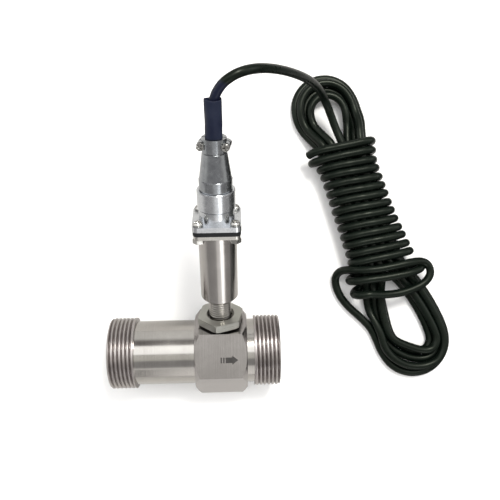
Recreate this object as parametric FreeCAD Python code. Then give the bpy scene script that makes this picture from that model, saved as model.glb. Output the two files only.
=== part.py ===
"""Turbine flow meter with threaded ports, a pickup stem, a circular connector and a tied cable.

Millimetres. The meter is modelled upright: the flow runs along +X, the stem stands along +Z and
the origin is the centre of the inlet face. At the end everything is laid over about the pipe
axis, so that one flat of the hexagon lies on the table below the origin.
"""
import FreeCAD, Part
import math
import os

Vec = FreeCAD.Vector

# Body: ports, tube and hexagon
BODY_LENGTH = 100.0
PORT_THREAD_DIA = 41.91
PORT_THREAD_LENGTH = 15.0
PORT_CHAMFER = 0.8
TUBE_DIA = 37.6
HEX_ACROSS_FLATS = 44.0
HEX_START = 50.2
HEX_WIDTH = 30.6
HEX_CHAMFER = 3.0
STEM_X = 65.6

# Flow passage
BORE_DIA = 25.0
CARTRIDGE_DIA = 28.0
CHAMBER_LENGTH = 20.0
MOUTH_CHAMFER = 0.8
INLET_SLEEVE_LENGTH = 40.0
OUTLET_SLEEVE_LENGTH = 18.0
VANE_COUNT = 4
VANE_THICKNESS = 1.6
VANE_SETBACK = 2.0
HUB_DIA = 9.0
NOSE_LENGTH = 7.0
RING_THICKNESS = 1.2
RING_GROOVE_DEPTH = 1.0
RING_BAND = 2.4
RING_GAP_ANGLE = 36.0
RING_LUG_RADIUS = 1.9
RING_LUG_HOLE = 0.8

# Rotor, shaft and bushes
ROTOR_LENGTH = 14.0
ROTOR_HUB_DIA = 8.4
ROTOR_BLADES = 6
ROTOR_TIP_GAP = 0.5
BLADE_LENGTH = 11.0
BLADE_THICKNESS = 1.0
BLADE_TWIST = 42.0
BLADE_SECTIONS = 5
SHAFT_DIA = 2.0
BUSH_DIA = 4.0
BUSH_LENGTH = 5.0

# Pickup stem
SEAL_DIA = 19.0
SEAL_THICKNESS = 1.2
NUT_ACROSS_FLATS = 24.0
NUT_THICKNESS = 4.6
NUT_RECESS = 3.0
NUT_CORNER_TRIM = 0.9
NUT_TURN = -10.0
STUB_DIA = 16.0
STUB_DEPTH = 7.4
STUB_HOLE_FLOOR = 0.4
NECK_DIA = 13.0
NECK_EXPOSED = 11.7
STEM_BORE_DIA = 10.4
HOUSING_DIA = 21.0
BEVEL_DIA = HOUSING_DIA - 3.8
BEVEL_HEIGHT = 2.1
HOUSING_LENGTH = 41.4
HOUSING_WALL = 1.7
BOBBIN_LENGTH = 14.0
BOBBIN_CHEEK = 1.0
BOBBIN_CORE_DIA = 4.6
WINDING_DIA = 9.2
POLE_DIA = 3.0
POLE_LENGTH = 18.0
MAGNET_DIA = 7.0
MAGNET_LENGTH = 6.0
HOLDER_THICKNESS = 4.0
BOARD_WIDTH = HOUSING_DIA - 7.0
BOARD_THICKNESS = 1.6
BOARD_LENGTH = 28.0
LEAD_WIRE_DIA = 0.7

# Circular connector: the barrel sets the diameters around it, the housing those of the rear skirt
BARREL_DIA = 17.8
SKIRT_LENGTH = 8.0
SKIRT_DIA = HOUSING_DIA - 5.6
INSERT_DIA = SKIRT_DIA - 1.4
COLLAR_DIA = BARREL_DIA + 1.4
SOCKET_DIA = BARREL_DIA - 2.0
SOCKET_FLOOR = 2.4
BARREL_OVERLAP = 8.0
PIN_COUNT = 4
PIN_DIA = 1.6
PIN_CIRCLE_DIA = 7.2
PIN_REACH = 11.0
PIN_TAIL = 3.5
CONTACT_WALL = 0.45
PLUG_CORE_DIA = 1.2
CONTACT_TAIL = 2.8
RING_STANDOFF = 6.1
COUPLING_DIA = BARREL_DIA + 2.5
COUPLING_HEIGHT = 10.4
COUPLING_LIP = 1.7
PLUG_NECK_DIA = BARREL_DIA - 1.1
PLUG_THREAD_DIA = BARREL_DIA - 2.8
PLUG_THREAD_LENGTH = 5.0
PLUG_BORE_DIA = BARREL_DIA - 4.6
BACKSHELL_DIA = BARREL_DIA - 0.2
BACKSHELL_LENGTH = 20.0
BACKSHELL_BAND = 5.6
BACKSHELL_STEP = 0.3
BACKSHELL_TIP_DIA = 13.1
BACKSHELL_WALL = 1.5
CLAMP_HEIGHT = 7.5
CLAMP_BAND_DIA = 12.8
CLAMP_EAR_OFFSET = 6.4
CLAMP_EAR_RADIUS = 2.2
CLAMP_EAR_THICKNESS = 3.0
CLAMP_SPLIT = 0.8
CLAMP_TURN = -8.0
CLAMP_SCREW_DIA = 2.0
CLAMP_HEAD_DIA = 4.0
CLAMP_HEAD_HEIGHT = 1.8
SLEEVE_DIA = 8.8
SLEEVE_EXPOSED = 19.1
SLEEVE_MOUTH_DEPTH = 6.0
SLEEVE_LIP = 0.35
SLEEVE_HIDDEN = 5.0

# Square flange joint: its screws clear the housing below and the connector's collar above
PLATE_THICKNESS = 2.2
PLATE_CORNER = 2.5
GASKET_THICKNESS = 2.6
FLANGE_THICKNESS = 2.8
FLANGE_CORNER = 3.0
SCREW_DIA = 3.0
SCREW_HEAD_DIA = 5.2
SCREW_HEAD_HEIGHT = 1.9
SCREW_TAIL = 0.6
FLANGE_NUT_AF = 5.5
FLANGE_NUT_THICKNESS = 2.3
NUT_STANDOFF = 0.468

# Cable
CABLE_DIA = 5.0
CABLE_START = 6.0

# Named clearances
RUNNING_GAP = 0.05
SLIP_GAP = 0.1
SEAT_GAP = 0.2
PART_GAP = 0.3
SCREW_GAP = 0.1

# Sides of the flange joint's plates, from where its screws stand
SCREW_CIRCLE_RADIUS = max(HOUSING_DIA / 2 + NUT_STANDOFF + FLANGE_NUT_AF / 2,
                          COLLAR_DIA / 2 + PART_GAP + SCREW_HEAD_DIA / 2)
SCREW_OFFSET = SCREW_CIRCLE_RADIUS / math.sqrt(2)
PLATE_SIZE = 2 * SCREW_OFFSET + 5.3
GASKET_SIZE = 2 * SCREW_OFFSET + 6.0
FLANGE_SIZE = 2 * SCREW_OFFSET + 6.5

# Lay of the meter on its flat: the stem leans this far from upright towards +Y
LAY_ANGLE = 60.0

# Heights along the stem
TABLE = -HEX_ACROSS_FLATS / 2
Z_FLAT = HEX_ACROSS_FLATS / 2
Z_STUB = Z_FLAT - STUB_DEPTH
Z_NUT = Z_FLAT + SEAL_THICKNESS
Z_NUT_TOP = Z_NUT + NUT_THICKNESS
Z_BEVEL = Z_NUT_TOP + NECK_EXPOSED
Z_BARREL = Z_BEVEL + BEVEL_HEIGHT
Z_PLATE = Z_BARREL + HOUSING_LENGTH
Z_GASKET = Z_PLATE + PLATE_THICKNESS
Z_FLANGE = Z_GASKET + GASKET_THICKNESS
Z_FLANGE_TOP = Z_FLANGE + FLANGE_THICKNESS
Z_RING = Z_FLANGE_TOP + RING_STANDOFF
Z_RING_TOP = Z_RING + COUPLING_HEIGHT
Z_BACKSHELL = Z_RING_TOP + SEAT_GAP
Z_CLAMP = Z_BACKSHELL + BACKSHELL_LENGTH
Z_CLAMP_TOP = Z_CLAMP + CLAMP_HEIGHT
Z_SLEEVE_TOP = Z_CLAMP_TOP + SLEEVE_EXPOSED
Z_CABLE_EXIT = Z_SLEEVE_TOP - SLEEVE_MOUTH_DEPTH
Z_BOBBIN = Z_STUB + PART_GAP
Z_HOLDER = Z_BARREL + HOUSING_WALL
Z_BOARD_TOP = Z_HOLDER + BOARD_LENGTH
Z_PIN_TAIL = Z_FLANGE - SKIRT_LENGTH + SEAT_GAP
Z_PLUG_FACE = Z_FLANGE_TOP + SOCKET_FLOOR + PART_GAP
Z_CABLE_START = Z_BACKSHELL + CABLE_START
Z_INSERT_BACK = Z_FLANGE - PIN_TAIL

# Places along the pipe
X_INLET_SEAT = STEM_X - CHAMBER_LENGTH / 2
X_OUTLET_SEAT = STEM_X + CHAMBER_LENGTH / 2
X_INLET_SLEEVE = X_INLET_SEAT - INLET_SLEEVE_LENGTH
X_OUTLET_SLEEVE = X_OUTLET_SEAT + OUTLET_SLEEVE_LENGTH
HUB_REACH = ROTOR_LENGTH / 2 + PART_GAP + SEAT_GAP
SHAFT_HALF = HUB_REACH + BUSH_LENGTH - 2 * SEAT_GAP
BUSH_HOLE_DEPTH = BUSH_LENGTH + SEAT_GAP

PORT_RADIUS = PORT_THREAD_DIA / 2
BORE_RADIUS = BORE_DIA / 2
CARTRIDGE_RADIUS = CARTRIDGE_DIA / 2
STUB_RADIUS = STUB_DIA / 2
STEM_BORE_RADIUS = STEM_BORE_DIA / 2
HOUSING_BORE_RADIUS = HOUSING_DIA / 2 - HOUSING_WALL
PIN_RADIUS = PIN_DIA / 2
CONTACT_BORE = PIN_RADIUS + RUNNING_GAP
CONTACT_RADIUS = CONTACT_BORE + CONTACT_WALL
SKIRT_HOLE_RADIUS = SKIRT_DIA / 2 + SLIP_GAP
CABLE_RADIUS = CABLE_DIA / 2
SLEEVE_RADIUS = SLEEVE_DIA / 2


def disc(radius, base, height, x=STEM_X, y=0.0):
    """Cylinder standing on height base, along the stem."""
    return Part.makeCylinder(radius, height, Vec(x, y, base), Vec(0, 0, 1))


def tube(outer, inner, base, height, x=STEM_X, y=0.0):
    """Hollow cylinder along the stem."""
    return disc(outer, base, height, x, y).cut(disc(inner, base - 1, height + 2, x, y))


def pipe_disc(radius, start, length):
    """Cylinder along the pipe axis."""
    return Part.makeCylinder(radius, length, Vec(start, 0, 0), Vec(1, 0, 0))


def rod(start, end, radius):
    """Round bar between two points."""
    along = end - start
    return Part.makeCylinder(radius, along.Length, start, along)


def spin_about_pipe(profile):
    """Solid of revolution about the pipe axis from (x, radius) corners."""
    points = [Vec(x, 0, r) for x, r in profile]
    face = Part.Face(Part.makePolygon(points + [points[0]]))
    return face.revolve(Vec(0, 0, 0), Vec(1, 0, 0), 360)


def spin_about_stem(profile):
    """Solid of revolution about the stem axis from (radius, z) corners."""
    points = [Vec(STEM_X + r, 0, z) for r, z in profile]
    face = Part.Face(Part.makePolygon(points + [points[0]]))
    return face.revolve(Vec(STEM_X, 0, 0), Vec(0, 0, 1), 360)


def hexagon(across_flats, base, height, first_corner=0.0):
    """Hexagonal prism along +Z about the origin, with its first corner at the given angle."""
    radius = across_flats / math.sqrt(3)
    angles = [math.radians(first_corner + 60 * i) for i in range(7)]
    corners = [Vec(radius * math.cos(a), radius * math.sin(a), base) for a in angles]
    return Part.Face(Part.makePolygon(corners)).extrude(Vec(0, 0, height))


def square_plate(size, thickness, corner, base):
    """Square plate with round corners, centred on the stem."""
    half = size / 2
    plate = Part.makeBox(size, size, thickness, Vec(STEM_X - half, -half, base))
    edges = [e for e in plate.Edges if abs(e.Vertexes[0].Z - e.Vertexes[1].Z) > thickness / 2]
    return plate.makeFillet(corner, edges)


def screw_places():
    """Centres of the four flange screws."""
    signs = [(-1, -1), (1, -1), (1, 1), (-1, 1)]
    return [(STEM_X + sx * SCREW_OFFSET, sy * SCREW_OFFSET) for sx, sy in signs]


def pin_places(radius=PIN_CIRCLE_DIA / 2):
    """Centres of the connector's contacts on a circle."""
    angles = [2 * math.pi * (i + 0.5) / PIN_COUNT for i in range(PIN_COUNT)]
    return [(STEM_X + radius * math.cos(a), radius * math.sin(a)) for a in angles]


def meter_body():
    """Tube with two threaded ports, a chamfered hexagon, the stepped bore and the pickup hole."""
    port, tube_radius = PORT_RADIUS, TUBE_DIA / 2
    outlet_thread = BODY_LENGTH - PORT_THREAD_LENGTH
    outside = spin_about_pipe([
        (0, 0), (0, port - PORT_CHAMFER), (PORT_CHAMFER, port), (PORT_THREAD_LENGTH, port),
        (PORT_THREAD_LENGTH, tube_radius), (outlet_thread, tube_radius), (outlet_thread, port),
        (BODY_LENGTH - PORT_CHAMFER, port), (BODY_LENGTH, port - PORT_CHAMFER), (BODY_LENGTH, 0),
    ])
    block = hexagon(HEX_ACROSS_FLATS, 0, HEX_WIDTH)
    block.rotate(Vec(0, 0, 0), Vec(0, 1, 0), 90)
    block.translate(Vec(HEX_START, 0, 0))
    block.rotate(Vec(0, 0, 0), Vec(1, 0, 0), 90)
    corner = HEX_ACROSS_FLATS / math.sqrt(3)
    rim = HEX_ACROSS_FLATS / 2 - PART_GAP
    hex_end = HEX_START + HEX_WIDTH
    block = block.common(spin_about_pipe([
        (HEX_START, 0), (HEX_START, rim), (HEX_START + HEX_CHAMFER, corner),
        (hex_end - HEX_CHAMFER, corner), (hex_end, rim), (hex_end, 0),
    ]))
    body = outside.fuse(block)
    groove = CARTRIDGE_RADIUS + RING_GROOVE_DEPTH
    ring_in = X_INLET_SLEEVE - SEAT_GAP - RING_THICKNESS
    ring_out = X_OUTLET_SLEEVE + SEAT_GAP + RING_THICKNESS
    mouth = CARTRIDGE_RADIUS + MOUTH_CHAMFER
    passage = spin_about_pipe([
        (-1, 0), (-1, mouth + 1), (MOUTH_CHAMFER, CARTRIDGE_RADIUS),
        (ring_in - SLIP_GAP, CARTRIDGE_RADIUS), (ring_in - SLIP_GAP, groove),
        (X_INLET_SLEEVE - SLIP_GAP, groove), (X_INLET_SLEEVE - SLIP_GAP, CARTRIDGE_RADIUS),
        (X_INLET_SEAT, CARTRIDGE_RADIUS), (X_INLET_SEAT, BORE_RADIUS),
        (X_OUTLET_SEAT, BORE_RADIUS), (X_OUTLET_SEAT, CARTRIDGE_RADIUS),
        (X_OUTLET_SLEEVE + SLIP_GAP, CARTRIDGE_RADIUS), (X_OUTLET_SLEEVE + SLIP_GAP, groove),
        (ring_out + SLIP_GAP, groove), (ring_out + SLIP_GAP, CARTRIDGE_RADIUS),
        (BODY_LENGTH - MOUTH_CHAMFER, CARTRIDGE_RADIUS), (BODY_LENGTH + 1, mouth + 1),
        (BODY_LENGTH + 1, 0),
    ])
    pickup_hole = disc(STUB_RADIUS, Z_STUB - STUB_HOLE_FLOOR, STUB_DEPTH + STUB_HOLE_FLOOR + 1)
    return body.cut(passage).cut(pickup_hole)


def conditioner(seat, length, facing):
    """Flow conditioner: sleeve, radial vanes and a hub with a bullet nose away from the rotor.

    facing is 1 when the rotor lies towards +X of the seat and -1 when it lies towards -X.
    """
    outer = CARTRIDGE_RADIUS - RUNNING_GAP
    hub_radius = HUB_DIA / 2
    sleeve = pipe_disc(outer, 0, length).cut(pipe_disc(BORE_RADIUS, -1, length + 2))
    hub_end = CHAMBER_LENGTH / 2 - HUB_REACH
    nose_start = length - VANE_SETBACK - NOSE_LENGTH
    crown = Vec(nose_start + NOSE_LENGTH * math.sin(math.radians(50)), 0,
                hub_radius * math.cos(math.radians(50)))
    edges = [
        Part.LineSegment(Vec(-hub_end, 0, 0), Vec(-hub_end, 0, hub_radius)),
        Part.LineSegment(Vec(-hub_end, 0, hub_radius), Vec(nose_start, 0, hub_radius)),
        Part.Arc(Vec(nose_start, 0, hub_radius), crown, Vec(nose_start + NOSE_LENGTH, 0, 0)),
        Part.LineSegment(Vec(nose_start + NOSE_LENGTH, 0, 0), Vec(-hub_end, 0, 0)),
    ]
    outline = Part.Wire([edge.toShape() for edge in edges])
    shape = sleeve.fuse(Part.Face(outline).revolve(Vec(0, 0, 0), Vec(1, 0, 0), 360))
    vane_length = length - 2 * VANE_SETBACK
    vane_height = (BORE_RADIUS + outer) / 2
    for i in range(VANE_COUNT):
        vane = Part.makeBox(vane_length, VANE_THICKNESS, vane_height,
                            Vec(VANE_SETBACK, -VANE_THICKNESS / 2, 0))
        vane.rotate(Vec(0, 0, 0), Vec(1, 0, 0), 360 * (i + 0.5) / VANE_COUNT)
        shape = shape.fuse(vane)
    shape = shape.cut(pipe_disc(BUSH_DIA / 2, -hub_end - 1, BUSH_HOLE_DEPTH + 1))
    if facing > 0:
        shape.rotate(Vec(0, 0, 0), Vec(0, 0, 1), 180)
    shape.translate(Vec(seat, 0, 0))
    return shape.removeSplitter()


def inlet_conditioner():
    return conditioner(X_INLET_SEAT, INLET_SLEEVE_LENGTH, 1)


def outlet_conditioner():
    return conditioner(X_OUTLET_SEAT, OUTLET_SLEEVE_LENGTH, -1)


def retaining_ring(start):
    """Internal snap ring with two pierced lugs either side of its gap."""
    outer = CARTRIDGE_RADIUS + RING_GROOVE_DEPTH - SLIP_GAP
    mean = outer - RING_BAND / 2
    ring = pipe_disc(outer, start, RING_THICKNESS)
    ring = ring.cut(pipe_disc(outer - RING_BAND, start - 1, RING_THICKNESS + 2))
    half_gap = math.radians(RING_GAP_ANGLE / 2)
    reach = 2 * outer
    side = reach * math.tan(half_gap)
    corners = [Vec(start - 1, 0, 0), Vec(start - 1, side, -reach), Vec(start - 1, -side, -reach)]
    wedge = Part.Face(Part.makePolygon(corners + [corners[0]]))
    ring = ring.cut(wedge.extrude(Vec(RING_THICKNESS + 2, 0, 0)))
    lug_angle = half_gap + RING_LUG_RADIUS / mean
    lug_radius = outer - RING_GROOVE_DEPTH - RING_LUG_RADIUS
    for side in (-1, 1):
        centre = Vec(start, side * lug_radius * math.sin(lug_angle), -lug_radius * math.cos(lug_angle))
        ring = ring.fuse(Part.makeCylinder(RING_LUG_RADIUS, RING_THICKNESS, centre, Vec(1, 0, 0)))
        behind = centre - Vec(1, 0, 0)
        ring = ring.cut(Part.makeCylinder(RING_LUG_HOLE, RING_THICKNESS + 2, behind, Vec(1, 0, 0)))
    return ring


def inlet_retaining_ring():
    return retaining_ring(X_INLET_SLEEVE - SEAT_GAP - RING_THICKNESS)


def outlet_retaining_ring():
    return retaining_ring(X_OUTLET_SLEEVE + SEAT_GAP)


def bush(start):
    """Bearing bush pressed into a conditioner's hub."""
    outer = pipe_disc(BUSH_DIA / 2, start, BUSH_LENGTH)
    return outer.cut(pipe_disc(SHAFT_DIA / 2 + RUNNING_GAP, start - 1, BUSH_LENGTH + 2))


def inlet_bush():
    return bush(STEM_X - HUB_REACH - BUSH_LENGTH)


def outlet_bush():
    return bush(STEM_X + HUB_REACH)


def rotor_blade():
    """One helical blade, lofted through radial sections that turn as they go along the pipe."""
    root = ROTOR_HUB_DIA / 2 - BLADE_THICKNESS / 2
    tip = BORE_RADIUS - ROTOR_TIP_GAP
    half = BLADE_THICKNESS / 2
    sections = []
    for i in range(BLADE_SECTIONS):
        share = i / (BLADE_SECTIONS - 1)
        x = STEM_X + (share - 0.5) * BLADE_LENGTH
        corners = [Vec(x, -half, root), Vec(x, half, root), Vec(x, half, tip), Vec(x, -half, tip)]
        wire = Part.makePolygon(corners + [corners[0]])
        wire.rotate(Vec(0, 0, 0), Vec(1, 0, 0), (share - 0.5) * BLADE_TWIST)
        sections.append(wire)
    return Part.makeLoft(sections, True, False)


def rotor():
    """Turbine rotor: a hub with rounded ends that carries the helical blades."""
    radius = ROTOR_HUB_DIA / 2
    ends = BLADE_THICKNESS
    first, last = STEM_X - ROTOR_LENGTH / 2, STEM_X + ROTOR_LENGTH / 2
    shape = spin_about_pipe([
        (first, 0), (first, radius - ends), (first + ends, radius), (last - ends, radius),
        (last, radius - ends), (last, 0),
    ])
    blade = rotor_blade()
    for i in range(ROTOR_BLADES):
        turned = blade.copy()
        turned.rotate(Vec(0, 0, 0), Vec(1, 0, 0), 360 * i / ROTOR_BLADES)
        shape = shape.fuse(turned)
    return shape.cut(pipe_disc(SHAFT_DIA / 2, first - 1, ROTOR_LENGTH + 2))


def rotor_shaft():
    return pipe_disc(SHAFT_DIA / 2, STEM_X - SHAFT_HALF, 2 * SHAFT_HALF)


def seal_washer():
    return tube(SEAL_DIA / 2, STUB_RADIUS, Z_FLAT, SEAL_THICKNESS)


def jam_nut():
    """Thin hexagonal lock nut with a corner nearly at the front and chamfered corners."""
    radius = NUT_ACROSS_FLATS / math.sqrt(3)
    rim = radius - NUT_CORNER_TRIM
    chamfer = NUT_CORNER_TRIM * math.tan(math.radians(30))
    blank = hexagon(NUT_ACROSS_FLATS, Z_NUT, NUT_THICKNESS, 30 + NUT_TURN)
    blank.translate(Vec(STEM_X, 0, 0))
    turned = spin_about_stem([
        (0, Z_NUT), (rim, Z_NUT), (radius, Z_NUT + chamfer), (radius, Z_NUT_TOP - chamfer),
        (rim, Z_NUT_TOP), (0, Z_NUT_TOP),
    ])
    hole = disc(STUB_RADIUS, Z_NUT - 1, NUT_THICKNESS + 2)
    return blank.common(turned).cut(hole)


def pickup_housing():
    """Threaded stub, neck, bevel and the cylinder that holds the amplifier, turned in one piece."""
    thread_top = Z_NUT_TOP - NUT_RECESS
    neck, barrel = NECK_DIA / 2, HOUSING_DIA / 2
    chamfer = STUB_HOLE_FLOOR * 2
    return spin_about_stem([
        (STEM_BORE_RADIUS, Z_STUB), (STUB_RADIUS - chamfer, Z_STUB),
        (STUB_RADIUS, Z_STUB + chamfer), (STUB_RADIUS, thread_top), (neck, thread_top),
        (neck, Z_BEVEL), (BEVEL_DIA / 2, Z_BEVEL), (barrel, Z_BARREL), (barrel, Z_PLATE),
        (HOUSING_BORE_RADIUS, Z_PLATE), (HOUSING_BORE_RADIUS, Z_HOLDER),
        (STEM_BORE_RADIUS, Z_HOLDER),
    ])


def coil_bobbin():
    """Spool in the stub's bore that carries the pickup winding."""
    cheek = STEM_BORE_RADIUS - RUNNING_GAP
    core, hole = BOBBIN_CORE_DIA / 2, POLE_DIA / 2
    top = Z_BOBBIN + BOBBIN_LENGTH
    return spin_about_stem([
        (hole, Z_BOBBIN), (cheek, Z_BOBBIN), (cheek, Z_BOBBIN + BOBBIN_CHEEK),
        (core, Z_BOBBIN + BOBBIN_CHEEK), (core, top - BOBBIN_CHEEK), (cheek, top - BOBBIN_CHEEK),
        (cheek, top), (hole, top),
    ])


def coil_winding():
    height = BOBBIN_LENGTH - 2 * BOBBIN_CHEEK
    return tube(WINDING_DIA / 2, BOBBIN_CORE_DIA / 2, Z_BOBBIN + BOBBIN_CHEEK, height)


def pole_piece():
    return disc(POLE_DIA / 2, Z_BOBBIN, POLE_LENGTH)


def pickup_magnet():
    return disc(MAGNET_DIA / 2, Z_BOBBIN + POLE_LENGTH, MAGNET_LENGTH)


def coil_lead_places():
    """Places of the two coil leads, just clear of the magnet and against the board's face."""
    y = BOARD_THICKNESS / 2 + LEAD_WIRE_DIA / 2
    reach = MAGNET_DIA / 2 + LEAD_WIRE_DIA
    return [(STEM_X - reach, y), (STEM_X + reach, y)]


def board_holder():
    """Potted disc above the neck, with a slot for the board and holes for the coil leads."""
    holder = disc(HOUSING_BORE_RADIUS - RUNNING_GAP, Z_HOLDER, HOLDER_THICKNESS)
    slot = Part.makeBox(BOARD_WIDTH, BOARD_THICKNESS, HOLDER_THICKNESS + 1,
                        Vec(STEM_X - BOARD_WIDTH / 2, -BOARD_THICKNESS / 2, Z_HOLDER + SEAT_GAP))
    holder = holder.cut(slot)
    for x, y in coil_lead_places():
        holder = holder.cut(disc(LEAD_WIRE_DIA / 2, Z_HOLDER - 1, HOLDER_THICKNESS + 2, x, y))
    return holder


def amplifier_board():
    """Circuit board with its packages and a capacitor on the face away from the leads."""
    base = Z_HOLDER + SEAT_GAP
    left = STEM_X - BOARD_WIDTH / 2
    board = Part.makeBox(BOARD_WIDTH, BOARD_THICKNESS, BOARD_LENGTH - SEAT_GAP,
                         Vec(left, -BOARD_THICKNESS / 2, base))
    face = -BOARD_THICKNESS / 2
    chip_width, chip_height, chip_depth = 6.0, 5.0, 1.4
    for i in range(2):
        low = base + HOLDER_THICKNESS + 2 + i * (chip_height + 2)
        board = board.fuse(Part.makeBox(chip_width, chip_depth, chip_height,
                                        Vec(STEM_X - chip_width / 2, face - chip_depth, low)))
    can_radius, can_height = 2.0, 4.0
    can = Part.makeCylinder(can_radius, can_height, Vec(STEM_X, face, Z_BOARD_TOP - 4), Vec(0, -1, 0))
    return board.fuse(can)


def coil_leads():
    """Two wires from the bobbin up to the foot of the board."""
    start = Z_BOBBIN + BOBBIN_LENGTH
    height = Z_HOLDER + HOLDER_THICKNESS + 2 - start
    return Part.makeCompound([disc(LEAD_WIRE_DIA / 2, start, height, x, y)
                              for x, y in coil_lead_places()])


def signal_leads():
    """One wire from the head of the board to each pin's tail."""
    wires = []
    for i, (x, y) in enumerate(pin_places()):
        side = 1 if y > 0 else -1
        foot_y = side * (BOARD_THICKNESS / 2 + LEAD_WIRE_DIA)
        foot = Vec(STEM_X + (x - STEM_X) * 1.5, foot_y, Z_BOARD_TOP - 1)
        wires.append(rod(foot, Vec(x, y, Z_PIN_TAIL - SEAT_GAP), LEAD_WIRE_DIA / 2))
    return Part.makeCompound(wires)


def housing_flange():
    """Square plate on the end of the housing, drilled for the connector's screws."""
    plate = square_plate(PLATE_SIZE, PLATE_THICKNESS, PLATE_CORNER, Z_PLATE)
    plate = plate.cut(disc(SKIRT_HOLE_RADIUS, Z_PLATE - 1, PLATE_THICKNESS + 2))
    for x, y in screw_places():
        plate = plate.cut(disc(SCREW_DIA / 2 + SCREW_GAP, Z_PLATE - 1, PLATE_THICKNESS + 2, x, y))
    return plate


def flange_gasket():
    gasket = square_plate(GASKET_SIZE, GASKET_THICKNESS, FLANGE_CORNER, Z_GASKET)
    gasket = gasket.cut(disc(SKIRT_HOLE_RADIUS, Z_GASKET - 1, GASKET_THICKNESS + 2))
    for x, y in screw_places():
        gasket = gasket.cut(disc(SCREW_DIA / 2 + SCREW_GAP, Z_GASKET - 1, GASKET_THICKNESS + 2, x, y))
    return gasket


def receptacle_shell():
    """Panel half of the connector: square flange, collar, threaded barrel and rear skirt."""
    collar, barrel = COLLAR_DIA / 2, BARREL_DIA / 2
    skirt_end = Z_FLANGE - SKIRT_LENGTH
    collar_top = Z_RING - PART_GAP
    floor = Z_FLANGE_TOP + SOCKET_FLOOR
    barrel_top = Z_RING + BARREL_OVERLAP
    round_part = spin_about_stem([
        (0, skirt_end), (SKIRT_DIA / 2, skirt_end), (SKIRT_DIA / 2, Z_FLANGE), (collar, Z_FLANGE),
        (collar, collar_top), (barrel, collar_top), (barrel, barrel_top), (0, barrel_top),
    ])
    plate = square_plate(FLANGE_SIZE, FLANGE_THICKNESS, FLANGE_CORNER, Z_FLANGE)
    for x, y in screw_places():
        plate = plate.cut(disc(SCREW_DIA / 2 + SCREW_GAP, Z_FLANGE - 1, FLANGE_THICKNESS + 2, x, y))
    shell = plate.fuse(round_part)
    shell = shell.cut(disc(INSERT_DIA / 2, skirt_end - 1, floor - skirt_end + 2))
    return shell.cut(disc(SOCKET_DIA / 2, floor, barrel_top - floor + 1))


def receptacle_insert():
    """Moulded disc that holds the pins."""
    insert = disc(INSERT_DIA / 2, Z_INSERT_BACK, Z_FLANGE_TOP + SOCKET_FLOOR - Z_INSERT_BACK)
    for x, y in pin_places():
        insert = insert.cut(disc(PIN_RADIUS, Z_INSERT_BACK - 1, FLANGE_THICKNESS + 10, x, y))
    return insert


def receptacle_pins():
    height = Z_FLANGE_TOP + PIN_REACH - Z_PIN_TAIL
    return Part.makeCompound([disc(PIN_RADIUS, Z_PIN_TAIL, height, x, y) for x, y in pin_places()])


def flange_screws():
    """Four round-headed screws down through the flange, the gasket and the plate."""
    screws = []
    radius, head = SCREW_DIA / 2, SCREW_HEAD_DIA / 2
    end = Z_PLATE - FLANGE_NUT_THICKNESS - SCREW_TAIL
    crown = SCREW_HEAD_HEIGHT * 0.55
    for x, y in screw_places():
        screw = spin_about_stem([
            (0, end), (radius, end), (radius, Z_FLANGE_TOP), (head, Z_FLANGE_TOP),
            (head, Z_FLANGE_TOP + crown), (head * 0.75, Z_FLANGE_TOP + SCREW_HEAD_HEIGHT),
            (0, Z_FLANGE_TOP + SCREW_HEAD_HEIGHT),
        ])
        screw.translate(Vec(x - STEM_X, y, 0))
        screws.append(screw)
    return Part.makeCompound(screws)


def flange_nuts():
    """Four nuts under the plate, each with a flat towards the housing."""
    nuts = []
    base = Z_PLATE - FLANGE_NUT_THICKNESS
    for x, y in screw_places():
        nut = hexagon(FLANGE_NUT_AF, base, FLANGE_NUT_THICKNESS, 15)
        if (x - STEM_X) * y < 0:
            nut.rotate(Vec(0, 0, 0), Vec(0, 0, 1), 90)
        nut.translate(Vec(x, y, 0))
        nuts.append(nut.cut(disc(SCREW_DIA / 2, base - 1, FLANGE_NUT_THICKNESS + 2, x, y)))
    return Part.makeCompound(nuts)


def plug_shell():
    """Cable half of the connector inside the coupling ring, with the thread for the backshell."""
    nose, collar = SOCKET_DIA / 2 - SLIP_GAP, BARREL_DIA / 2 - RUNNING_GAP
    neck, thread = PLUG_NECK_DIA / 2, PLUG_THREAD_DIA / 2
    bore = PLUG_BORE_DIA / 2
    collar_base = Z_RING + BARREL_OVERLAP + PART_GAP
    collar_top = Z_RING_TOP - COUPLING_LIP - SEAT_GAP
    top = Z_BACKSHELL + PLUG_THREAD_LENGTH
    return spin_about_stem([
        (bore, Z_PLUG_FACE), (nose, Z_PLUG_FACE), (nose, collar_base), (collar, collar_base),
        (collar, collar_top), (neck, collar_top), (neck, Z_BACKSHELL), (thread, Z_BACKSHELL),
        (thread, top), (bore, top),
    ])


def plug_insert():
    """Moulded disc that holds the socket contacts."""
    height = Z_RING + BARREL_OVERLAP - Z_PLUG_FACE
    insert = disc(PLUG_BORE_DIA / 2, Z_PLUG_FACE, height)
    for x, y in pin_places():
        insert = insert.cut(disc(CONTACT_RADIUS, Z_PLUG_FACE - 1, height + 2, x, y))
    return insert


def plug_contacts():
    height = Z_RING + BARREL_OVERLAP + CONTACT_TAIL - Z_PLUG_FACE
    return Part.makeCompound([tube(CONTACT_RADIUS, CONTACT_BORE, Z_PLUG_FACE, height, x, y)
                              for x, y in pin_places()])


def plug_leads():
    """Four cores that fan out from the end of the cable to the contacts."""
    start = Z_RING + BARREL_OVERLAP + CONTACT_TAIL + PART_GAP
    end = Z_CABLE_START - PART_GAP
    spread = CABLE_RADIUS - PLUG_CORE_DIA
    cores = []
    for (x, y), (cx, cy) in zip(pin_places(), pin_places(spread)):
        cores.append(rod(Vec(x, y, start), Vec(cx, cy, end), PLUG_CORE_DIA / 2))
    return Part.makeCompound(cores)


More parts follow.
